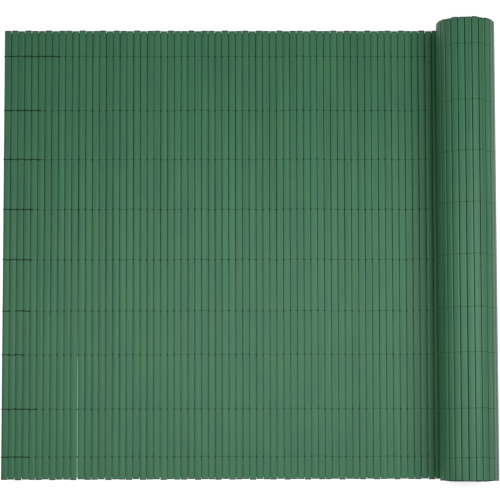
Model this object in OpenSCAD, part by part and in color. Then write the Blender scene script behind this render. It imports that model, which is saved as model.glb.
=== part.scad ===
// A garden privacy screen of hollow PVC slats threaded on cords, partly unrolled.
// X runs along the screen, Y along the slats and Z is up. The mat lies flat on Z = 0
// and its other end is wound into a roll. The origin is under the middle of the whole.

/* [Slats] */
// Length of a slat, which is the height of the screen when it stands
slat_len = 900; // [400:10:2000]
// Width of a slat
slat_w = 13; // [10:0.5:20]
// Thickness of a slat
slat_t = 3; // [2.8:0.1:5]
// Wall of the hollow slat
slat_wall = 0.5; // [0.4:0.05:0.8]
// Gap between neighbouring slats
seam_gap = 0.65; // [0.6:0.05:1.5]
// How far the slat ends stand out of line
end_stagger = 0.8; // [0:0.1:2]

/* [Flat part] */
// Slats from the free end to the first one that is wound into the roll
flat_slats = 67; // [24:1:120]
// Slats between the free end and the loose seam
slats_before_loose_seam = 11; // [2:1:20]
// Extra width of the loose seam at the lower slat ends
loose_seam_gap = 1.4; // [0:0.1:3]

/* [Roll] */
// Slats wound into the roll
rolled_slats = 153; // [60:1:200]
// Angle between neighbouring slats at the core, where the roll is tightest
core_bend = 27; // [18:1:31]
// Clear space between one turn and the next
turn_clear = 0.3; // [0.2:0.05:1]

/* [Cords] */
// Thickness of a cord
cord_d = 1; // [0.8:0.1:1.2]
// Clear space round a cord in its holes and over the slats
cord_clear = 0.1; // [0.1:0.05:0.2]

/* [Hidden] */
// Cord rows, measured from the upper slat ends as shares of the slat length
row_shares = [0.058, 0.18, 0.29, 0.402, 0.514, 0.628, 0.725, 0.845, 0.95];
// How far each cord is turned back over the free end, as shares of the slat pitch
tail_shares = [8.2, 5.5, 5.5, 4.5, 4.2, 4, 3.2, 5.1, 4.1];
// Slats that the hidden ends of the cords are turned back over, in the core
core_tail_slats = 3;
// Where the roll touches the floor, counted from its first seam as a share of the slat pitch
touch_share = 0.26;
// Angle from one slat to the next in the rule that staggers the slat ends
stagger_turn = 137.5;
// Nodes that the flat slats are shared out to
flat_groups = 8;
// Flat strip left on a slat's edge above and below a cord hole
hole_land = 0.05;
// Angles at which a cord bends round the corner of an end slat
wrap_angles = [90, 120, 150, 180];
// Fineness of the curves
$fn = 48;

slat_pitch = slat_w + seam_gap;
slat_count = flat_slats + rolled_slats;
half_t = slat_t / 2;
// A cord is square, so its hole clears the corners, and the slat's edge is flat as far
// as the hole reaches. The rest of the edge is round.
hole_d = sqrt(2) * cord_d + 2 * cord_clear;
corner_up = hole_d / 2 + hole_land;
corner_r = half_t - corner_up;
corner_x = slat_w / 2 - corner_r;
// From a slat's surface to the middle of a cord that lies on it
cord_off = cord_clear + cord_d / 2;

// The spiral runs through the middles of the seams. A slat lies straight between two of
// them, so its middle is nearer to the axis, and its face corners reach outwards.
function middle_r(r) = sqrt(pow(r, 2) - pow(slat_pitch / 2, 2));
core_r = slat_pitch / 2 / sin(core_bend / 2);
core_reach = norm([middle_r(core_r) + corner_up, corner_x]) + corner_r;
next_sag = core_r + slat_t - middle_r(core_r + slat_t);
turn_pitch = core_reach - core_r + next_sag + half_t + turn_clear;
roll_r = sqrt(pow(core_r, 2) + rolled_slats * slat_pitch * turn_pitch / PI);

// Angles of the seams round the roll's axis, counted from where the roll touches the floor.
// The first seam lies just before that line.
first_angle = -asin(touch_share * slat_pitch / roll_r);
function roll_radius(angle) = roll_r - turn_pitch * angle / 360;
function seam_step(r, guess) =
    let (next_r = r - turn_pitch * guess / 360)
    2 * asin(sqrt((pow(slat_pitch, 2) - pow(r - next_r, 2)) / (4 * r * next_r)));
function next_angle(angle) =
    let (r = roll_radius(angle), first_guess = 2 * asin(slat_pitch / (2 * r)))
    angle + seam_step(r, seam_step(r, first_guess));
roll_angles = [
    for (
        i = 0, angle = first_angle;
        i <= rolled_slats;
        i = i + 1, angle = next_angle(angle)
    ) angle
];
turn_count = ceil((roll_angles[rolled_slats] - first_angle) / 360);

// Middles of the seams in the X Z plane, counted from the free end of the mat
roll_axis = [(flat_slats + touch_share) * slat_pitch, half_t + roll_r];
function on_roll(angle) = roll_axis + roll_radius(angle) * [sin(angle), -cos(angle)];
seams = concat(
    [for (i = [0 : flat_slats - 1]) [i * slat_pitch, half_t]],
    [for (angle = roll_angles) on_roll(angle)]
);

// One slat lies between two seams. Its far side is where the next slat begins.
function heading(i) = let (way = seams[i + 1] - seams[i]) atan2(way.y, way.x);
function slat_middle(i) = (seams[i] + seams[i + 1]) / 2;
function in_slat(i, along, up) =
    let (a = heading(i))
    slat_middle(i) + along * [cos(a), sin(a)] + up * [-sin(a), cos(a)];
function end_offset(i) = end_stagger * sin(i * stagger_turn);
function loose(i) = i < slats_before_loose_seam;
loose_angle = atan(loose_seam_gap / slat_len);
function loose_shift(y) = -loose_seam_gap * (slat_len / 2 - y) / slat_len;

function row_y(share) = slat_len * (1 / 2 - share);

// The part's extents along X, which set the origin
slat_reaches = [
    for (i = [flat_slats : slat_count - 1], side = [-1, 1])
    in_slat(i, corner_x, side * corner_up).x + corner_r
];
right_end = max(slat_reaches);
cord_reaches = [for (share = row_shares) loose_shift(row_y(share)) - cord_off - cord_d / 2];
left_end = seam_gap / 2 + min(cord_reaches);
mat_left = -(right_end + left_end) / 2;

// Cords: each is a path in the X Z plane that is given its thickness on both sides
function reversed(points) = [for (i = [len(points) - 1 : -1 : 0]) points[i]];
function unit_normal(from, to) = let (way = to - from) [-way.y, way.x] / norm(way);
function side_point(path, i, offset) =
    let (
        last = len(path) - 1,
        before = unit_normal(path[max(i - 1, 0)], path[max(i, 1)]),
        after = unit_normal(path[min(i, last - 1)], path[min(i + 1, last)]),
        mean = (before + after) / norm(before + after)
    )
    path[i] + offset / (mean * before) * mean;
function strip(path, width) = concat(
    [for (i = [0 : len(path) - 1]) side_point(path, i, width / 2)],
    reversed([for (i = [0 : len(path) - 1]) side_point(path, i, -width / 2)])
);

// The route starts with the tail that lies on the first slats, bends round the edge of the
// first slat, passes through all the slats and ends with the same bend and tail in the core.
// This bend is on a slat's left side at -1 and on its right side at 1.
function edge_bend(i, side) = concat(
    [
        for (a = wrap_angles)
        in_slat(
            i,
            side * (corner_x - (corner_r + cord_off) * cos(a)),
            corner_up + (corner_r + cord_off) * sin(a)
        )
    ],
    [in_slat(i, side * (slat_w / 2 + cord_off), 0)]
);
core_seams = [for (i = [slat_count : -1 : slat_count - core_tail_slats]) seams[i]];
core_tail = concat(
    [for (i = [1 : core_tail_slats - 1]) side_point(core_seams, i, -half_t - cord_off)],
    [in_slat(slat_count - core_tail_slats, 0, half_t + cord_off)]
);
function cord_path(y, tail_len) = concat(
    [in_slat(0, tail_len - slat_w / 2, half_t + cord_off)],
    [for (point = edge_bend(0, -1)) point + [loose_shift(y), 0]],
    [for (i = [flat_slats : slat_count - 1]) seams[i]],
    reversed(edge_bend(slat_count - 1, 1)),
    core_tail
);

// The extruded profile of a slat: two flat faces, round corners and a hollow inside
module slat_profile() {
    difference() {
        union() {
            square([2 * corner_x, slat_t], center = true);
            square([slat_w, 2 * corner_up], center = true);
            for (side = [-1, 1], up = [-1, 1])
                translate([side * corner_x, up * corner_up])
                    circle(r = corner_r);
        }
        square([slat_w - 2 * slat_wall, slat_t - 2 * slat_wall], center = true);
    }
}

// One slat in its own frame, with a hole through both edges at each cord row
module slat(i) {
    difference() {
        translate([0, end_offset(i), 0])
            rotate([90, 0, 0])
                linear_extrude(slat_len, center = true)
                    slat_profile();
        for (share = row_shares)
            translate([0, row_y(share), 0])
                rotate([0, 90, 0])
                    cylinder(h = slat_w + slat_t, d = hole_d, center = true);
    }
}

// The slats before the loose seam are skewed, which opens it towards their lower ends
module placed_slat(i) {
    middle = slat_middle(i);
    translate([middle.x + (loose(i) ? loose_shift(0) : 0), 0, middle.y])
        rotate([0, -heading(i), 0])
            rotate([0, 0, loose(i) ? -loose_angle : 0])
                slat(i);
}

module flat_slat_group(k) {
    first = round((k - 1) * flat_slats / flat_groups);
    last = round(k * flat_slats / flat_groups) - 1;
    color("seagreen")
        translate([mat_left, 0, 0])
            for (i = [first : last])
                placed_slat(i);
}

module roll_turn(k) {
    color("mediumseagreen")
        translate([mat_left, 0, 0])
            for (i = [0 : rolled_slats - 1])
                if (floor((roll_angles[i] - first_angle) / 360) == k - 1)
                    placed_slat(flat_slats + i);
}

module cord(k) {
    y = row_y(row_shares[k - 1]);
    color("darkgreen")
        translate([mat_left, y, 0])
            rotate([90, 0, 0])
                linear_extrude(cord_d, center = true)
                    polygon(strip(cord_path(y, tail_shares[k - 1] * slat_pitch), cord_d));
}

for (k = [1 : flat_groups])
    flat_slat_group(k);
for (k = [1 : turn_count])
    roll_turn(k);
for (k = [1 : len(row_shares)])
    cord(k);
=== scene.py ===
"""The looks of a garden privacy screen: hollow PVC slats threaded on nylon cords, one end rolled up.

Slats and cords are made again, in metres, where the frame has them, with the finish of extruded
green PVC and of twisted cord. The camera stands where the photograph was taken from.
"""
import math

import bmesh
import bpy
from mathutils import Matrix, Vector


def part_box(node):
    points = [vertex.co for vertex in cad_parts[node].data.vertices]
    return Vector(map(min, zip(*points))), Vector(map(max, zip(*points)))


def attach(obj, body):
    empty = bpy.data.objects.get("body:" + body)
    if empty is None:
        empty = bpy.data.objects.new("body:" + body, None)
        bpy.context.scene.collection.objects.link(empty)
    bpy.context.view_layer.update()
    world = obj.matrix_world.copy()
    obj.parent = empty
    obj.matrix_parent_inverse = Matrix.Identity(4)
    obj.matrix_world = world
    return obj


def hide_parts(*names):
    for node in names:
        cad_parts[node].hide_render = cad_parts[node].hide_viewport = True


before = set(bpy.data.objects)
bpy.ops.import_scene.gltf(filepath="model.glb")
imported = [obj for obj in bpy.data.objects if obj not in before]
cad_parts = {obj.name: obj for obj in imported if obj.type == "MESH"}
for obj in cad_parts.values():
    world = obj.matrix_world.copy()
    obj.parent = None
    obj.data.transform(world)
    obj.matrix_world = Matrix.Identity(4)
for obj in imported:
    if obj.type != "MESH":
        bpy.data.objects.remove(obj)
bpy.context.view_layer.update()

# Driving sizes of the screen
MM = 0.001
SLAT_LEN = 900 * MM
SLAT_W = 13 * MM
SLAT_T = 3 * MM
SLAT_WALL = 0.5 * MM
SEAM_GAP = 0.65 * MM
END_STAGGER = 0.8 * MM
STAGGER_TURN = math.radians(137.5)
FLAT_SLATS = 67
LOOSE_SLATS = 11
LOOSE_SEAM_GAP = 1.4 * MM
ROLLED_SLATS = 153
CORE_BEND = math.radians(27)
TURN_CLEAR = 0.3 * MM
TOUCH_SHARE = 0.26
CORD_D = 1 * MM
CORD_CLEAR = 0.1 * MM
HOLE_LAND = 0.05 * MM
ROW_SHARES = (0.058, 0.18, 0.29, 0.402, 0.514, 0.628, 0.725, 0.845, 0.95)
TAIL_SHARES = (8.2, 5.5, 5.5, 4.5, 4.2, 4, 3.2, 5.1, 4.1)
CORE_TAIL_SLATS = 3
FLAT_GROUPS = 8

# The slat's own roundness, which the frame leaves out
CROWN = 0.6 * MM
CROWN_POWER = 2.5
CROWN_SHARE = 0.6
EDGE_ROUND = 0.85 * MM
EDGE_STEPS = 2
# Keeps slats that lie a little askew inside the frame's own box
SKIN_INSET = 0.01 * MM
SHARP_ANGLE = math.radians(50)

# How unevenly the slats lie
SLAT_PLAY = 0.16 * MM
SLAT_TURN_PLAY = math.radians(0.02)
SLAT_TILT_PLAY = math.radians(0.6)
SLAT_SEED = 11
# Added to the seed, so that each of these is drawn by itself
SEED_STEPS = {"Tilt Play": 1.0, "Turn Play": 2.0, "Play": 3.0, "shade": 4.0, "tint": 5.0}

slat_pitch = SLAT_W + SEAM_GAP
slat_count = FLAT_SLATS + ROLLED_SLATS
half_t = SLAT_T / 2
cord_off = CORD_CLEAR + CORD_D / 2
loose_angle = math.atan(LOOSE_SEAM_GAP / SLAT_LEN)


# Camera

# The place, the turn and the lens are fitted to the outline, the seams and the cord rows
# in the photograph
PHOTO_SIDE = 500
CAMERA_PLACE = (-0.0201, -0.3130, 3.0449)
CAMERA_TURN = (math.radians(3.372), math.radians(-0.471), math.radians(-0.118))
FOCAL_PIXELS = 1529
SENSOR_WIDTH = 36
SHIFT_UP = 0.14
CLIP_START = 0.01
CLIP_END = 100


def make_camera():
    data = bpy.data.cameras.new("photo_camera")
    data.sensor_width = SENSOR_WIDTH
    data.lens = FOCAL_PIXELS / PHOTO_SIDE * SENSOR_WIDTH
    data.shift_y = SHIFT_UP
    data.clip_start = CLIP_START
    data.clip_end = CLIP_END
    camera = bpy.data.objects.new("photo_camera", data)
    camera.location = CAMERA_PLACE
    camera.rotation_euler = CAMERA_TURN
    bpy.context.scene.collection.objects.link(camera)
    bpy.context.scene.camera = camera


# The mat's line: the middles of the seams, in X and Z

hole_d = math.sqrt(2) * CORD_D + 2 * CORD_CLEAR
corner_up = hole_d / 2 + HOLE_LAND
corner_r = half_t - corner_up
corner_x = SLAT_W / 2 - corner_r


def middle_r(radius):
    return math.sqrt(radius ** 2 - (slat_pitch / 2) ** 2)


core_r = slat_pitch / 2 / math.sin(CORE_BEND / 2)
core_reach = math.hypot(middle_r(core_r) + corner_up, corner_x) + corner_r
next_sag = core_r + SLAT_T - middle_r(core_r + SLAT_T)
turn_pitch = core_reach - core_r + next_sag + half_t + TURN_CLEAR
roll_r = math.sqrt(core_r ** 2 + ROLLED_SLATS * slat_pitch * turn_pitch / math.pi)
first_angle = -math.asin(TOUCH_SHARE * slat_pitch / roll_r)


def roll_radius(angle):
    return roll_r - turn_pitch * angle / math.tau


# Times that the step to the next seam is worked out again, as the spiral narrows over it
STEP_CORRECTIONS = 2


def next_angle(angle):
    here = roll_radius(angle)
    step = 2 * math.asin(slat_pitch / (2 * here))
    for _ in range(STEP_CORRECTIONS):
        there = here - turn_pitch * step / math.tau
        sine_squared = (slat_pitch ** 2 - (here - there) ** 2) / (4 * here * there)
        step = 2 * math.asin(math.sqrt(sine_squared))
    return angle + step


def roll_seam_angles():
    angles = [first_angle]
    for _ in range(ROLLED_SLATS):
        angles.append(next_angle(angles[-1]))
    return angles


def flat_group_start(k):
    return math.floor(k * FLAT_SLATS / FLAT_GROUPS + 1 / 2)


# The last group of flat slats lies square, so its left side gives the place of the mat
last_start = flat_group_start(FLAT_GROUPS - 1)
mat_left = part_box(f"flat_slats_{FLAT_GROUPS}")[0].x - SEAM_GAP / 2 - last_start * slat_pitch
roll_angles = roll_seam_angles()
roll_axis = Vector((mat_left + (FLAT_SLATS + TOUCH_SHARE) * slat_pitch, 0, half_t + roll_r))


def seam_place(i):
    if i < FLAT_SLATS:
        return Vector((mat_left + i * slat_pitch, 0, half_t))
    angle = roll_angles[i - FLAT_SLATS]
    return roll_axis + roll_radius(angle) * Vector((math.sin(angle), 0, -math.cos(angle)))


seams = [seam_place(i) for i in range(slat_count + 1)]


def in_slat(i, along, up):
    """A point in the X Z plane, from the middle of slat i along it and up from it."""
    way = (seams[i + 1] - seams[i]).normalized()
    return (seams[i] + seams[i + 1]) / 2 + along * way + up * Vector((-way.z, 0, way.x))


def row_y(share):
    return SLAT_LEN * (1 / 2 - share)


def loose_shift(y):
    return -LOOSE_SEAM_GAP * (SLAT_LEN / 2 - y) / SLAT_LEN


# Node trees


def add_node(tree, kind, **settings):
    made = tree.nodes.new(kind)
    for name, value in settings.items():
        setattr(made, name, value)
    return made


def feed(tree, socket, value):
    """Links a socket's source, or sets its value where the source is a plain number."""
    if isinstance(value, bpy.types.NodeSocket):
        tree.links.new(value, socket)
    elif value is not None:
        socket.default_value = value


def math_node(tree, operation, *values):
    made = add_node(tree, "ShaderNodeMath", operation=operation)
    for socket, value in zip(made.inputs, values):
        feed(tree, socket, value)
    return made.outputs[0]


def smooth_step(tree, value, low, high, start=0.0, end=1.0):
    """A smooth change from start to end, as the value goes from low to high."""
    made = add_node(tree, "ShaderNodeMapRange", interpolation_type="SMOOTHSTEP")
    for socket, given in zip(made.inputs, (value, low, high, start, end)):
        feed(tree, socket, given)
    return made.outputs[0]


def socket_in(tree, name, kind, default=None):
    made = tree.interface.new_socket(name, in_out="INPUT", socket_type=kind)
    if default is not None:
        made.default_value = default
    return made


# Slats


def slat_outline(half_w, half_up, crown, edge_round):
    """The section of a slat in X and Z: two crowned faces and two edges with round corners."""
    land = half_up - crown - edge_round
    reach = half_w - edge_round
    quarter = []
    for step in range(EDGE_STEPS + 1):
        turn = math.pi / 2 * step / EDGE_STEPS
        quarter.append((reach + edge_round * math.cos(turn), land + edge_round * math.sin(turn)))
    quarter.append((reach * CROWN_SHARE, half_up - crown * CROWN_SHARE ** CROWN_POWER))
    upper = quarter + [(0, half_up)] + [(-x, z) for x, z in reversed(quarter)]
    return upper + [(-x, -z) for x, z in upper]


def slat_mesh():
    """One hollow slat about its own middle: an outer and an inner skin, joined at the cut ends."""
    outer = slat_outline(SLAT_W / 2, half_t - SKIN_INSET, CROWN, EDGE_ROUND)
    inner = slat_outline(SLAT_W / 2 - SLAT_WALL, half_t - SLAT_WALL, CROWN, EDGE_ROUND - SLAT_WALL)
    half_len = SLAT_LEN / 2 - SKIN_INSET
    shape = bmesh.new()
    rings = []
    for outline in (outer, inner):
        for end in (-1, 1):
            rings.append([shape.verts.new((x, end * half_len, z)) for x, z in outline])
    outer_low, outer_high, inner_low, inner_high = rings
    round_trip = (outer_low, outer_high, inner_high, inner_low, outer_low)
    for one, other in zip(round_trip, round_trip[1:]):
        for a in range(len(one)):
            b = (a + 1) % len(one)
            shape.faces.new((one[a], one[b], other[b], other[a]))
    bmesh.ops.recalc_face_normals(shape, faces=shape.faces)
    mesh = bpy.data.meshes.new("slat")
    shape.to_mesh(mesh)
    shape.free()
    mesh.polygons.foreach_set("use_smooth", [True] * len(mesh.polygons))
    mesh.set_sharp_from_angle(angle=SHARP_ANGLE)
    own_place = mesh.attributes.new("own_place", "FLOAT_VECTOR", "POINT")
    for vertex, item in zip(mesh.vertices, own_place.data):
        item.vector = vertex.co
    return mesh


def slat_run_sockets(tree):
    socket_in(tree, "Geometry", "NodeSocketGeometry")
    socket_in(tree, "Slat", "NodeSocketObject")
    socket_in(tree, "Finish", "NodeSocketMaterial")
    for name in ("First Slat", "Loose Slats", "Seed"):
        socket_in(tree, name, "NodeSocketInt", 0)
    for name in ("End Stagger", "Stagger Turn", "Loose Angle", "Loose Shift"):
        socket_in(tree, name, "NodeSocketFloat", 0.0)
    for name in ("Play", "Turn Play", "Tilt Play"):
        socket_in(tree, name, "NodeSocketFloat", 0.0)
    tree.interface.new_socket("Geometry", in_out="OUTPUT", socket_type="NodeSocketGeometry")


def path_edges(tree, path):
    """A point in the middle of each edge of the path, and the way that the edge runs."""
    ends = add_node(tree, "GeometryNodeInputMeshEdgeVertices")
    way = add_node(tree, "ShaderNodeVectorMath", operation="SUBTRACT")
    feed(tree, way.inputs[0], ends.outputs["Position 2"])
    feed(tree, way.inputs[1], ends.outputs["Position 1"])
    kept = add_node(tree, "GeometryNodeCaptureAttribute", domain="EDGE")
    kept.capture_items.new("VECTOR", "Way")
    feed(tree, kept.inputs["Geometry"], path)
    feed(tree, kept.inputs["Way"], way.outputs[0])
    points = add_node(tree, "GeometryNodeMeshToPoints", mode="EDGES")
    feed(tree, points.inputs["Mesh"], kept.outputs["Geometry"])
    return points.outputs[0], kept.outputs["Way"]


def slat_random(tree, given, number, name, low, high):
    """An even random value from low to high for each slat, by its number."""
    made = add_node(tree, "FunctionNodeRandomValue", data_type="FLOAT")
    feed(tree, made.inputs[2], low)
    feed(tree, made.inputs[3], high)
    feed(tree, made.inputs["ID"], number)
    feed(tree, made.inputs["Seed"], math_node(tree, "ADD", given["Seed"], SEED_STEPS[name]))
    return made.outputs[1]


def slat_play(tree, given, number, name):
    """An even random value for each slat, as far to either side as the play of this name allows."""
    low = math_node(tree, "MULTIPLY", given[name], -1.0)
    return slat_random(tree, given, number, name, low, given[name])


def slat_turn(tree, given, number, loose, way):
    """A slat's turn: along the path, askew before the loose seam, and uneven by its plays."""
    heading = add_node(tree, "FunctionNodeAlignRotationToVector", axis="X", pivot_axis="Y")
    feed(tree, heading.inputs["Vector"], way)
    skew = math_node(tree, "MULTIPLY", loose, math_node(tree, "MULTIPLY", given["Loose Angle"], -1.0))
    own_turn = add_node(tree, "ShaderNodeCombineXYZ")
    feed(tree, own_turn.inputs["Y"], slat_play(tree, given, number, "Tilt Play"))
    turn_play = slat_play(tree, given, number, "Turn Play")
    feed(tree, own_turn.inputs["Z"], math_node(tree, "ADD", skew, turn_play))
    as_rotation = add_node(tree, "FunctionNodeEulerToRotation")
    feed(tree, as_rotation.inputs[0], own_turn.outputs[0])
    turned = add_node(tree, "FunctionNodeRotateRotation", rotation_space="LOCAL")
    feed(tree, turned.inputs[0], heading.outputs[0])
    feed(tree, turned.inputs[1], as_rotation.outputs[0])
    return turned.outputs[0]


def slat_slide(tree, given, number, loose):
    """A slat's own move: across by the loose seam and its play, and along by the ends' stagger."""
    shift = math_node(tree, "MULTIPLY", loose, given["Loose Shift"])
    across = math_node(tree, "ADD", shift, slat_play(tree, given, number, "Play"))
    stagger = math_node(tree, "SINE", math_node(tree, "MULTIPLY", number, given["Stagger Turn"]))
    slide = add_node(tree, "ShaderNodeCombineXYZ")
    feed(tree, slide.inputs["X"], across)
    feed(tree, slide.inputs["Y"], math_node(tree, "MULTIPLY", stagger, given["End Stagger"]))
    return slide.outputs[0]


def slat_run_tree():
    """Places one slat on every edge of a path, as the slats of a mat lie side by side."""
    tree = bpy.data.node_groups.new("slat_run", "GeometryNodeTree")
    slat_run_sockets(tree)
    given = add_node(tree, "NodeGroupInput").outputs
    result = add_node(tree, "NodeGroupOutput")
    points, way = path_edges(tree, given["Geometry"])
    index = add_node(tree, "GeometryNodeInputIndex").outputs[0]
    number = math_node(tree, "ADD", index, given["First Slat"])
    loose = math_node(tree, "LESS_THAN", number, given["Loose Slats"])

    slat = add_node(tree, "GeometryNodeObjectInfo")
    feed(tree, slat.inputs["Object"], given["Slat"])
    placed = add_node(tree, "GeometryNodeInstanceOnPoints")
    feed(tree, placed.inputs["Points"], points)
    feed(tree, placed.inputs["Instance"], slat.outputs["Geometry"])
    feed(tree, placed.inputs["Rotation"], slat_turn(tree, given, number, loose, way))
    moved = add_node(tree, "GeometryNodeTranslateInstances")
    moved.inputs["Local Space"].default_value = True
    feed(tree, moved.inputs["Instances"], placed.outputs[0])
    feed(tree, moved.inputs["Translation"], slat_slide(tree, given, number, loose))

    last = moved.outputs[0]
    for name in ("shade", "tint"):
        stored = add_node(tree, "GeometryNodeStoreNamedAttribute", data_type="FLOAT", domain="INSTANCE")
        stored.inputs["Name"].default_value = name
        feed(tree, stored.inputs["Geometry"], last)
        feed(tree, stored.inputs["Value"], slat_random(tree, given, number, name, 0.0, 1.0))
        last = stored.outputs[0]
    real = add_node(tree, "GeometryNodeRealizeInstances")
    feed(tree, real.inputs[0], last)
    finish = add_node(tree, "GeometryNodeSetMaterial")
    feed(tree, finish.inputs["Geometry"], real.outputs[0])
    feed(tree, finish.inputs["Material"], given["Finish"])
    feed(tree, result.inputs[0], finish.outputs[0])
    return tree


def set_input(modifier, name, value):
    for item in modifier.node_group.interface.items_tree:
        if item.in_out == "INPUT" and item.name == name:
            modifier[item.identifier] = value


def lay_slats(name, node, first, last, slat, tree, finish):
    """The slats from first up to last, as one piece that stands for a node of the frame."""
    path = bpy.data.meshes.new(name)
    edges = [(i, i + 1) for i in range(last - first)]
    path.from_pydata([tuple(seam) for seam in seams[first:last + 1]], edges, [])
    carrier = bpy.data.objects.new("carrier", path)
    bpy.context.scene.collection.objects.link(carrier)
    run = carrier.modifiers.new("slat_run", "NODES")
    run.node_group = tree
    for title, value in (
        ("Slat", slat),
        ("First Slat", first),
        ("End Stagger", END_STAGGER),
        ("Stagger Turn", STAGGER_TURN),
        ("Loose Slats", LOOSE_SLATS),
        ("Loose Angle", loose_angle),
        ("Loose Shift", loose_shift(0)),
        ("Play", SLAT_PLAY),
        ("Turn Play", SLAT_TURN_PLAY),
        ("Tilt Play", SLAT_TILT_PLAY),
        ("Seed", SLAT_SEED),
        ("Finish", finish),
    ):
        set_input(run, title, value)
    evaluated = carrier.evaluated_get(bpy.context.evaluated_depsgraph_get())
    made = bpy.data.meshes.new_from_object(evaluated)
    bpy.data.objects.remove(carrier)
    made.name = name
    piece = bpy.data.objects.new(name, made)
    bpy.context.scene.collection.objects.link(piece)
    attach(piece, "root")
    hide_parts(node)


def make_slats(finish):
    slat = bpy.data.objects.new("slat", slat_mesh())
    bpy.context.scene.collection.objects.link(slat)
    tree = slat_run_tree()
    for k in range(FLAT_GROUPS):
        runs = (flat_group_start(k), flat_group_start(k + 1))
        lay_slats(f"flat_run_{k + 1}", f"flat_slats_{k + 1}", *runs, slat, tree, finish)
    turns = [math.floor((angle - first_angle) / math.tau) for angle in roll_angles[:-1]]
    for k in range(max(turns) + 1):
        first = FLAT_SLATS + turns.index(k)
        last = first + turns.count(k)
        lay_slats(f"roll_run_{k + 1}", f"roll_turn_{k + 1}", first, last, slat, tree, finish)
    bpy.data.objects.remove(slat)


# Cords

CORD_SIDES = 8
# Under load the strands spread, so a cord is wider across its run than it is thick
CORD_SPREAD = 1.6
WRAP_ANGLES = (90, 120, 150, 180)
TAIL_STEP_SHARE = 0.25
TAIL_WAVE = 0.6 * MM
# Waves and finer ripples of a tail over each slat, and the waves' turn from one row to the next
TAIL_WAVES = 0.62
TAIL_RIPPLES = 1.4
TAIL_RIPPLE_SHARE = 0.5
TAIL_ROW_TURN = 1.9
TAIL_DIP = 0.2 * MM
# One tail goes through this slat and not over it
TUCKED_ROW = 5
TUCKED_SLAT = 1


def edge_bend(i, side):
    """The cord's bend round the edge of an end slat, from its face to the hole in its edge."""
    reach = corner_r + cord_off
    bend = []
    for degrees in WRAP_ANGLES:
        turn = math.radians(degrees)
        along = side * (corner_x - reach * math.cos(turn))
        bend.append(in_slat(i, along, corner_up + reach * math.sin(turn)))
    bend.append(in_slat(i, side * (SLAT_W / 2 + cord_off), 0))
    return bend


def tail_points(row):
    """The tail that lies on the first slats: it waves a little and dips at each seam."""
    length = TAIL_SHARES[row] * slat_pitch
    steps = round(TAIL_SHARES[row] / TAIL_STEP_SHARE)
    points = []
    for step in range(steps):
        along = length * (1 - step / steps)
        phase = math.tau * along / slat_pitch
        ripple = TAIL_RIPPLE_SHARE * math.sin(phase * TAIL_RIPPLES + row)
        wave = TAIL_WAVE * (math.sin(phase * TAIL_WAVES + row * TAIL_ROW_TURN) + ripple)
        dip = TAIL_DIP * (1 + math.cos(phase)) / 2
        tucked = row == TUCKED_ROW and 0 <= along / slat_pitch - TUCKED_SLAT <= 1
        up = 0 if tucked else half_t + cord_off - dip
        points.append(in_slat(0, along - SLAT_W / 2, up) + Vector((0, wave, 0)))
    return points


def cord_points(row):
    y = row_y(ROW_SHARES[row])
    points = tail_points(row)
    points += [point + Vector((loose_shift(y), 0, 0)) for point in edge_bend(0, -1)]
    points += [seams[i] for i in range(1, slat_count)]
    points += list(reversed(edge_bend(slat_count - 1, 1)))
    for step in range(1, CORE_TAIL_SLATS + 1):
        points.append(in_slat(slat_count - step, 0, half_t + cord_off))
    return [point + Vector((0, y, 0)) for point in points]


def tube(name, points, radius, sides):
    """A round cord along the points, with its length and its turn as the UV map."""
    shape = bmesh.new()
    uv = shape.loops.layers.uv.new("cord")
    rings = []
    lengths = [0.0]
    side = Vector((0, 1, 0))
    for i, point in enumerate(points):
        before = points[max(i - 1, 0)]
        after = points[min(i + 1, len(points) - 1)]
        way = (after - before).normalized()
        out = way.cross(side).normalized()
        across = out.cross(way).normalized()
        ring = []
        for s in range(sides):
            turn = math.tau * s / sides
            reach = CORD_SPREAD * math.cos(turn) * across + math.sin(turn) * out
            ring.append(shape.verts.new(point + radius * reach))
        rings.append(ring)
        if i:
            lengths.append(lengths[-1] + (point - points[i - 1]).length)
    for i in range(len(rings) - 1):
        for s in range(sides):
            t = (s + 1) % sides
            face = shape.faces.new((rings[i][s], rings[i][t], rings[i + 1][t], rings[i + 1][s]))
            corners = ((s, i), (s + 1, i), (s + 1, i + 1), (s, i + 1))
            for loop, (turn, at) in zip(face.loops, corners):
                loop[uv].uv = (turn / sides, lengths[at] / (math.tau * radius))
    for ring in (rings[0], rings[-1]):
        shape.faces.new(ring)
    bmesh.ops.recalc_face_normals(shape, faces=shape.faces)
    mesh = bpy.data.meshes.new(name)
    shape.to_mesh(mesh)
    shape.free()
    mesh.polygons.foreach_set("use_smooth", [True] * len(mesh.polygons))
    mesh.set_sharp_from_angle(angle=SHARP_ANGLE)
    return mesh


def make_cords(finish):
    for row in range(len(ROW_SHARES)):
        name = f"cord_row_{row + 1}"
        mesh = tube(name, cord_points(row), CORD_D / 2, CORD_SIDES)
        mesh.materials.append(finish)
        cord = bpy.data.objects.new(name, mesh)
        bpy.context.scene.collection.objects.link(cord)
        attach(cord, "root")
        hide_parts(f"cord_{row + 1}")


# Finishes

WHITE = (1, 1, 1, 1)
# Random values and noise run from 0 to 1
MIDDLE = 0.5
TONE_DETAIL = 3.0


def new_material(name):
    material = bpy.data.materials.new(name)
    material.use_nodes = True
    tree = material.node_tree
    tree.nodes.clear()
    surface = add_node(tree, "ShaderNodeBsdfPrincipled")
    output = add_node(tree, "ShaderNodeOutputMaterial")
    tree.links.new(surface.outputs[0], output.inputs[0])
    return material, tree, surface


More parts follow.
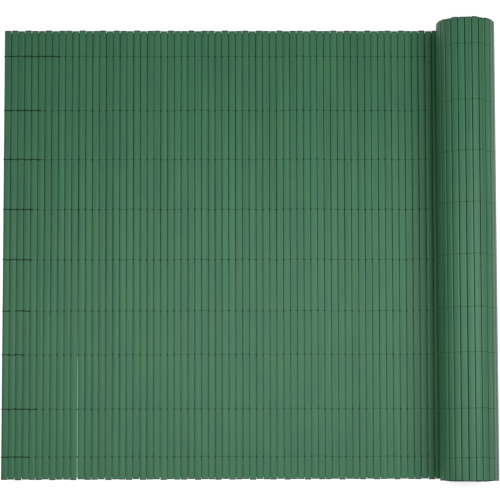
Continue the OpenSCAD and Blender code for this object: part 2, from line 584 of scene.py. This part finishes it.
def uneven_tone_group():
    """Light and dark drifts in a colour, stretched along Y, as extruded and drawn plastic has."""
    tree = bpy.data.node_groups.new("uneven_tone", "ShaderNodeTree")
    socket_in(tree, "Color", "NodeSocketColor", (0.5, 0.5, 0.5, 1))
    socket_in(tree, "Scale Across", "NodeSocketFloat", 100.0)
    socket_in(tree, "Scale Along", "NodeSocketFloat", 10.0)
    socket_in(tree, "Amount", "NodeSocketFloat", 0.1)
    tree.interface.new_socket("Color", in_out="OUTPUT", socket_type="NodeSocketColor")
    tree.interface.new_socket("Drift", in_out="OUTPUT", socket_type="NodeSocketFloat")
    given = add_node(tree, "NodeGroupInput").outputs
    result = add_node(tree, "NodeGroupOutput")
    place = add_node(tree, "ShaderNodeTexCoord").outputs["Object"]
    size = add_node(tree, "ShaderNodeCombineXYZ")
    feed(tree, size.inputs[0], given["Scale Across"])
    feed(tree, size.inputs[1], given["Scale Along"])
    feed(tree, size.inputs[2], given["Scale Across"])
    spread = add_node(tree, "ShaderNodeVectorMath", operation="MULTIPLY")
    feed(tree, spread.inputs[0], place)
    feed(tree, spread.inputs[1], size.outputs[0])
    noise = add_node(tree, "ShaderNodeTexNoise")
    noise.inputs["Scale"].default_value = 1.0
    noise.inputs["Detail"].default_value = TONE_DETAIL
    feed(tree, noise.inputs["Vector"], spread.outputs[0])
    drift = math_node(tree, "SUBTRACT", noise.outputs["Fac"], MIDDLE)
    gain = math_node(tree, "MULTIPLY_ADD", drift, given["Amount"], 1.0)
    feed(tree, result.inputs["Color"], scaled_colour(tree, given["Color"], gain))
    feed(tree, result.inputs["Drift"], drift)
    return tree


# From where to where each part of a row's mark fades or rises, in widths of the row
LINE_FADES = (0.3, 0.9)
SPOT_FADES = (1.1, 2.1)
RIM_RISES = (0.6, 1.1)
RIM_FADES = (1.2, 2.0)


def row_marks_group():
    """The line pressed into every slat where a cord runs: the line and its wider spot, painted as shade,
    and its rims, painted as highlights.
    """
    tree = bpy.data.node_groups.new("row_marks", "ShaderNodeTree")
    socket_in(tree, "Wander", "NodeSocketFloat", 0.0)
    socket_in(tree, "Width", "NodeSocketFloat", 1 * MM)
    for title in ("Line", "Rim", "Spot"):
        tree.interface.new_socket(title, in_out="OUTPUT", socket_type="NodeSocketFloat")
    given = add_node(tree, "NodeGroupInput").outputs
    result = add_node(tree, "NodeGroupOutput")
    y = math_node(tree, "ADD", place_of(tree)["Y"], given["Wander"])
    nearest = None
    for share in ROW_SHARES:
        away = math_node(tree, "ABSOLUTE", math_node(tree, "SUBTRACT", y, row_y(share)))
        nearest = away if nearest is None else math_node(tree, "MINIMUM", nearest, away)
    widths = math_node(tree, "DIVIDE", nearest, given["Width"])

    feed(tree, result.inputs["Line"], smooth_step(tree, widths, *LINE_FADES, 1.0, 0.0))
    feed(tree, result.inputs["Spot"], smooth_step(tree, widths, *SPOT_FADES, 1.0, 0.0))
    rising = smooth_step(tree, widths, *RIM_RISES)
    falling = smooth_step(tree, widths, *RIM_FADES, 1.0, 0.0)
    feed(tree, result.inputs["Rim"], math_node(tree, "MULTIPLY", rising, falling))
    return tree


def group_node(tree, group, **values):
    made = add_node(tree, "ShaderNodeGroup", node_tree=group)
    for name, value in values.items():
        feed(tree, made.inputs[name.replace("_", " ")], value)
    return made.outputs


def mixed(tree, amount, one, other):
    made = add_node(tree, "ShaderNodeMix", data_type="RGBA")
    feed(tree, made.inputs["Factor"], amount)
    colours = [socket for socket in made.inputs if socket.type == "RGBA"]
    feed(tree, colours[0], one)
    feed(tree, colours[1], other)
    return [socket for socket in made.outputs if socket.type == "RGBA"][0]


def scaled_colour(tree, colour, factor):
    made = add_node(tree, "ShaderNodeVectorMath", operation="SCALE")
    feed(tree, made.inputs[0], colour)
    feed(tree, made.inputs["Scale"], factor)
    return made.outputs[0]


def place_of(tree):
    place = add_node(tree, "ShaderNodeSeparateXYZ")
    feed(tree, place.inputs[0], add_node(tree, "ShaderNodeTexCoord").outputs["Object"])
    return place.outputs


def attribute(tree, name):
    return add_node(tree, "ShaderNodeAttribute", attribute_name=name)


def bumped(tree, height, strength, depth):
    made = add_node(tree, "ShaderNodeBump")
    made.inputs["Strength"].default_value = strength
    made.inputs["Distance"].default_value = depth
    feed(tree, made.inputs["Height"], height)
    return made.outputs[0]


# Colours of the slats, in linear light
PVC_BLUISH = (0.035, 0.152, 0.081, 1)
PVC_YELLOWISH = (0.041, 0.155, 0.068, 1)
# Painted shade of the row marks: the pressed groove's line and the cord's spot at each seam
PVC_DARK_LINE = (0.000, 0.052, 0.008, 1)
# Painted highlight, on the lit edges of rolled slats and on the rims of the row marks
PVC_HIGHLIGHT = (0.080, 0.230, 0.135, 1)
# Painted shade on the slat sides that face the seams, on the flat part and darker in the roll
PVC_SIDE_SHADE = (0.002, 0.125, 0.048, 1)
PVC_ROLL_SIDE_SHADE = (0.000, 0.018, 0.004, 1)
# Painted shade for the flat slats at the foot of the roll
PVC_SHADED = (0.000, 0.075, 0.019, 1)
SLAT_SHADE_RANGE = 0.09
SLAT_TINT_SHARE = 0.35
# Wide patches of tone, and fine streaks along the slat: about how many a metre holds
PATCH_SCALES = {"Scale_Across": 20.0, "Scale_Along": 12.0}
PATCH_TINT_SHARE = 1.9
PATCH_SHADE_SHARE = 0.2
STREAK_SCALES = {"Scale_Across": 260.0, "Scale_Along": 3.0}
STREAK_AMOUNT = 0.8
STREAK_ROUGHNESS = 0.25
STREAK_HEIGHT = 0.25
PVC_BUMP = 0.35
PVC_BUMP_DEPTH = 0.15 * MM
# The rolled slats are a little darker all over
ROLL_SHADE = 0.92
PVC_ROUGHNESS = 0.42
PVC_SPECULAR = 0.27
# Painted shade on the slat sides towards the seams, reaching further in on the roll
SIDE_START = 5.8 * MM
SIDE_AMOUNT = 0.85
ROLL_SIDE_WIDER = 0.35 * MM
# Painted shade along the outer edge of the first slat
OUTER_EDGE_WIDTH = 2.4 * MM
OUTER_EDGE_SHADE = 0.8
# Painted shade on the flat slats at the foot of the roll, where the roll shades them
CREVICE_INWARDS = 5.5 * MM
CREVICE_PLACE = roll_axis.x - roll_r + CREVICE_INWARDS
CREVICE_FULL = 5 * MM
CREVICE_REACH = 8 * MM
CREVICE_SHADE = 0.75
# Painted highlight: on the roll, the edge of each slat that is turned to the light is painted as a pale
# line
EDGE_HIGHLIGHT_PLACE = -4.7 * MM
EDGE_HIGHLIGHT_FULL = 0.4 * MM
EDGE_HIGHLIGHT_REACH = 1.0 * MM
EDGE_HIGHLIGHT_AMOUNT = 0.65
# Painted shade on the last millimetres of each slat, but not on the cut itself
END_REACH = 3.2 * MM
END_START = SLAT_LEN / 2 - END_REACH
END_CUT = SLAT_LEN / 2 - 2 * SKIN_INSET
END_SHADE = 0.95
ROW_WANDER = 2.0 * MM
ROW_WIDTH = 1.5 * MM
# The row line's painted shade, darker on the roll, its rims' painted highlight, and where the spot of
# painted shade starts at a seam
ROW_LINE_DARK = 0.5
ROLL_LINE_DARKER = 0.15
ROW_RIM_HIGHLIGHT = 0.3
ROW_SPOT_START = 4.8 * MM
ROW_SPOT_FULL = 5.8 * MM


def around_middle(tree, value):
    """A random value of 0 to 1 as one of minus a half to a half."""
    return math_node(tree, "SUBTRACT", value, MIDDLE)


def slat_tone(tree, tone_group, tint):
    """A slat's colour between the bluish and the yellowish green, with patches and fine streaks in it."""
    patch = group_node(tree, tone_group, **PATCH_SCALES)["Drift"]
    slat_tint = math_node(tree, "MULTIPLY_ADD", around_middle(tree, tint), SLAT_TINT_SHARE, MIDDLE)
    yellowish = math_node(tree, "MULTIPLY_ADD", patch, PATCH_TINT_SHARE, slat_tint)
    random_shade = around_middle(tree, attribute(tree, "shade").outputs["Fac"])
    shade = math_node(tree, "MULTIPLY_ADD", random_shade, SLAT_SHADE_RANGE, 1.0)
    shade = math_node(tree, "MULTIPLY_ADD", patch, PATCH_SHADE_SHARE, shade)
    colour = scaled_colour(tree, mixed(tree, yellowish, PVC_BLUISH, PVC_YELLOWISH), shade)
    return group_node(tree, tone_group, Color=colour, Amount=STREAK_AMOUNT, **STREAK_SCALES)


def with_edges(tree, colour, own_x, in_roll):
    """A painted highlight on the lit edge of each rolled slat, and painted shade on the sides that face the
    seams.
    """
    # Painted highlight along the edge of a rolled slat that faces the light
    from_edge = math_node(tree, "ABSOLUTE", math_node(tree, "SUBTRACT", own_x, EDGE_HIGHLIGHT_PLACE))
    edge_highlight = smooth_step(tree, from_edge, EDGE_HIGHLIGHT_FULL, EDGE_HIGHLIGHT_REACH, EDGE_HIGHLIGHT_AMOUNT, 0.0)
    colour = mixed(tree, math_node(tree, "MULTIPLY", edge_highlight, in_roll), colour, PVC_HIGHLIGHT)
    # Painted shade on the sides that face the seams
    across = math_node(tree, "ABSOLUTE", own_x)
    side_start = math_node(tree, "MULTIPLY_ADD", in_roll, -ROLL_SIDE_WIDER, SIDE_START)
    side = smooth_step(tree, across, side_start, SLAT_W / 2, 0.0, SIDE_AMOUNT)
    return mixed(tree, side, colour, mixed(tree, in_roll, PVC_SIDE_SHADE, PVC_ROLL_SIDE_SHADE))


def with_shade(tree, colour, place_x, own_y, in_roll):
    """Painted shade at the foot of the roll, near the slat ends and along the outer edge, and the rolled
    slats a little darker all over.
    """
    # Painted shade where the roll stands on the flat slats
    from_crevice = math_node(tree, "ABSOLUTE", math_node(tree, "SUBTRACT", place_x, CREVICE_PLACE))
    crevice = smooth_step(tree, from_crevice, CREVICE_FULL, CREVICE_REACH, CREVICE_SHADE, 0.0)
    crevice = math_node(tree, "MULTIPLY", crevice, math_node(tree, "SUBTRACT", 1.0, in_roll))
    colour = mixed(tree, crevice, colour, PVC_SHADED)
    along = math_node(tree, "ABSOLUTE", own_y)
    # Painted shade near the slat ends
    near_end = smooth_step(tree, along, END_START, END_CUT, 1.0, 1 - END_SHADE)
    near_end = math_node(tree, "MAXIMUM", near_end, math_node(tree, "GREATER_THAN", along, END_CUT))
    # Painted shade along the outer edge of the first slat
    edge_inside = mat_left + OUTER_EDGE_WIDTH
    outer_edge = smooth_step(tree, place_x, mat_left, edge_inside, 1 - OUTER_EDGE_SHADE, 1.0)
    face = math_node(tree, "MULTIPLY_ADD", in_roll, ROLL_SHADE - 1, 1.0)
    darker = math_node(tree, "MULTIPLY", math_node(tree, "MULTIPLY", near_end, outer_edge), face)
    return scaled_colour(tree, colour, darker)


def with_rows(tree, colour, marks, own_x, in_roll):
    """The marks of the cord rows: a dark line of painted shade in the pressed groove, darker on the roll,
    with painted highlights on its rims, and a wider spot of painted shade at each seam, where the cord
    shades the corners.
    """
    across = math_node(tree, "ABSOLUTE", own_x)
    at_seam = smooth_step(tree, across, ROW_SPOT_START, ROW_SPOT_FULL)
    spot = math_node(tree, "MULTIPLY", marks["Spot"], at_seam)
    line_dark = math_node(tree, "MULTIPLY_ADD", in_roll, ROLL_LINE_DARKER, ROW_LINE_DARK)
    line = math_node(tree, "MULTIPLY", marks["Line"], line_dark)
    colour = mixed(tree, math_node(tree, "MULTIPLY", marks["Rim"], ROW_RIM_HIGHLIGHT), colour, PVC_HIGHLIGHT)
    return mixed(tree, math_node(tree, "MAXIMUM", line, spot), colour, PVC_DARK_LINE)


def slat_pvc(tone_group, marks_group):
    """Extruded green PVC: each slat has its own tone, fine lines along it, the marks of the rows, and
    painted shade and highlights on its edges, sides and ends and at the foot of the roll.
    """
    material, tree, surface = new_material("slat_pvc")
    tint = attribute(tree, "tint").outputs["Fac"]
    own = add_node(tree, "ShaderNodeSeparateXYZ")
    feed(tree, own.inputs[0], attribute(tree, "own_place").outputs["Vector"])
    own_x = own.outputs["X"]
    place = place_of(tree)
    in_roll = math_node(tree, "GREATER_THAN", place["Z"], SLAT_T + CORD_D)
    streaks = slat_tone(tree, tone_group, tint)
    wander = math_node(tree, "MULTIPLY", around_middle(tree, tint), ROW_WANDER)
    marks = group_node(tree, marks_group, Wander=wander, Width=ROW_WIDTH)

    colour = with_edges(tree, streaks["Color"], own_x, in_roll)
    colour = with_shade(tree, colour, place["X"], own.outputs["Y"], in_roll)
    colour = with_rows(tree, colour, marks, own_x, in_roll)
    feed(tree, surface.inputs["Base Color"], colour)
    roughness = math_node(tree, "MULTIPLY_ADD", streaks["Drift"], STREAK_ROUGHNESS, PVC_ROUGHNESS)
    feed(tree, surface.inputs["Roughness"], roughness)
    surface.inputs["Specular IOR Level"].default_value = PVC_SPECULAR
    pressed = math_node(tree, "MULTIPLY", marks["Line"], -1.0)
    height = math_node(tree, "MULTIPLY_ADD", streaks["Drift"], STREAK_HEIGHT, pressed)
    feed(tree, surface.inputs["Normal"], bumped(tree, height, PVC_BUMP, PVC_BUMP_DEPTH))
    return material


CORD_GREEN = (0.002, 0.028, 0.009, 1)
# The strands' ridges: how many lie round the cord, and how many pass along as much of its length
CORD_RIDGES = 3.0
CORD_SLANT = 2.0
CORD_TONE_SCALES = {"Scale_Across": 300.0, "Scale_Along": 300.0}
CORD_TONE_AMOUNT = 0.5
CORD_ROUGHNESS = 0.8
CORD_SPECULAR = 0.2
CORD_BUMP = 0.6
CORD_BUMP_DEPTH = 0.08 * MM


def cord_nylon(tone_group):
    """Twisted nylon: the strands show as slanting ridges round the cord."""
    material, tree, surface = new_material("cord_nylon")
    uv = add_node(tree, "ShaderNodeUVMap", uv_map="cord").outputs[0]
    parts = add_node(tree, "ShaderNodeSeparateXYZ")
    feed(tree, parts.inputs[0], uv)
    round_it = math_node(tree, "MULTIPLY", parts.outputs["X"], CORD_RIDGES)
    slant = math_node(tree, "ADD", round_it, math_node(tree, "MULTIPLY", parts.outputs["Y"], CORD_SLANT))
    strands = math_node(tree, "SINE", math_node(tree, "MULTIPLY", slant, math.tau))
    toned = group_node(tree, tone_group, Color=CORD_GREEN, Amount=CORD_TONE_AMOUNT, **CORD_TONE_SCALES)
    feed(tree, surface.inputs["Base Color"], toned["Color"])
    surface.inputs["Roughness"].default_value = CORD_ROUGHNESS
    surface.inputs["Specular IOR Level"].default_value = CORD_SPECULAR
    feed(tree, surface.inputs["Normal"], bumped(tree, strands, CORD_BUMP, CORD_BUMP_DEPTH))
    return material


# Floor and light

FLOOR_SIDE = 24.0
FLOOR_DROP = 0.1 * MM
FLOOR_WHITE = (0.88, 0.88, 0.88, 1)
# Painted shade: the floor under the mat, seen dark between the slats
FLOOR_SHADED = (0.012, 0.045, 0.024, 1)
FLOOR_ROUGHNESS = 0.9
FLOOR_GLOW = 0.6
# Near the cut ends of the slats the white floor shows through the seams
SHADED_MARGIN = 4 * MM
LOOSE_SEAM_REACH = 2.5 * MM
LOOSE_SEAM_OPENS = (0.12, 0.25)
# Painted light: the floor under the other seams is painted paler, half as much as at the loose seam, and
# more so towards the near end
SEAMS_OPEN = (-0.1, 0.25)
SEAMS_OPEN_SHARE = 0.5
# Painted light: the floor seen through the seams, lit and tinted green by light off the slats
FLOOR_LIT_IN_SEAMS = (0.42, 0.78, 0.53, 1)


def background_rays(tree):
    """One for the rays that see a white background: the camera's, and those off gloss and through glass."""
    rays = add_node(tree, "ShaderNodeLightPath").outputs
    direct = math_node(tree, "MAXIMUM", rays["Is Camera Ray"], rays["Is Glossy Ray"])
    return math_node(tree, "MAXIMUM", direct, rays["Is Transmission Ray"])


def floor_masks(tree):
    """Two masks: under the mat, where the floor is painted in shade between the slats, and where it is
    painted paler there, as if lit through the seams.
    """
    place = place_of(tree)
    left = mat_left + SEAM_GAP
    inside_x = math_node(tree, "COMPARE", place["X"], (left + roll_axis.x) / 2, (roll_axis.x - left) / 2)
    inside_y = math_node(tree, "COMPARE", place["Y"], 0.0, SLAT_LEN / 2 - SHADED_MARGIN)
    seam = seams[LOOSE_SLATS].x - LOOSE_SEAM_GAP / 2
    at_loose_seam = math_node(tree, "COMPARE", place["X"], seam, LOOSE_SEAM_REACH)
    below = math_node(tree, "MULTIPLY", place["Y"], -1.0)
    opening = math_node(tree, "MULTIPLY", at_loose_seam, smooth_step(tree, below, *LOOSE_SEAM_OPENS))
    other_seams = smooth_step(tree, below, *SEAMS_OPEN, 0.0, SEAMS_OPEN_SHARE)
    return math_node(tree, "MULTIPLY", inside_x, inside_y), math_node(tree, "MAXIMUM", opening, other_seams)


def make_floor():
    half = FLOOR_SIDE / 2
    signs = ((-1, -1), (1, -1), (1, 1), (-1, 1))
    corners = [(x * half, y * half, -FLOOR_DROP) for x, y in signs]
    mesh = bpy.data.meshes.new("floor")
    mesh.from_pydata(corners, [], [(0, 1, 2, 3)])
    floor = bpy.data.objects.new("floor", mesh)
    bpy.context.scene.collection.objects.link(floor)
    material, tree, surface = new_material("floor_white")
    surface.inputs["Roughness"].default_value = FLOOR_ROUGHNESS
    shaded, opening = floor_masks(tree)
    # Under the mat the floor is painted in shade, and paler where light would come through the seams
    below_mat = mixed(tree, opening, FLOOR_SHADED, FLOOR_LIT_IN_SEAMS)
    feed(tree, surface.inputs["Base Color"], mixed(tree, shaded, FLOOR_WHITE, below_mat))
    surface.inputs["Emission Color"].default_value = WHITE
    glow = math_node(tree, "MULTIPLY", background_rays(tree), math_node(tree, "SUBTRACT", 1.0, shaded))
    feed(tree, surface.inputs["Emission Strength"], math_node(tree, "MULTIPLY", glow, FLOOR_GLOW))
    mesh.materials.append(material)


# Two soft lamps look straight down: the main one stands beyond the roll, the other over the flat part
LAMP_SIDE = 0.8
LAMPS = {
    "main_lamp": (Vector((0.96, -0.06, 1.2)), 9.6),
    "fill_lamp": (Vector((-0.17, -0.12, 1.0)), 4.9),
}
WORLD_LEVEL = 0.33


def make_lamps():
    for name, (place, watts) in LAMPS.items():
        data = bpy.data.lights.new(name, "AREA")
        data.shape = "SQUARE"
        data.size = LAMP_SIDE
        data.energy = watts
        lamp = bpy.data.objects.new(name, data)
        lamp.location = place
        lamp.visible_camera = False
        bpy.context.scene.collection.objects.link(lamp)


def make_world():
    """An even grey sky for the object, which the camera, gloss and glass see as white."""
    world = bpy.data.worlds.new("studio")
    bpy.context.scene.world = world
    world.use_nodes = True
    tree = world.node_tree
    tree.nodes.clear()
    sky = add_node(tree, "ShaderNodeBackground")
    sky.inputs["Color"].default_value = WHITE
    sky.inputs["Strength"].default_value = WORLD_LEVEL
    white = add_node(tree, "ShaderNodeBackground")
    white.inputs["Color"].default_value = WHITE
    white.inputs["Strength"].default_value = 1.0
    mix = add_node(tree, "ShaderNodeMixShader")
    output = add_node(tree, "ShaderNodeOutputWorld")
    feed(tree, mix.inputs[0], background_rays(tree))
    tree.links.new(sky.outputs[0], mix.inputs[1])
    tree.links.new(white.outputs[0], mix.inputs[2])
    tree.links.new(mix.outputs[0], output.inputs[0])


def main():
    bpy.context.scene.view_settings.view_transform = "Standard"
    make_camera()
    tone_group = uneven_tone_group()
    make_slats(slat_pvc(tone_group, row_marks_group()))
    make_cords(cord_nylon(tone_group))
    make_floor()
    make_lamps()
    make_world()


main()
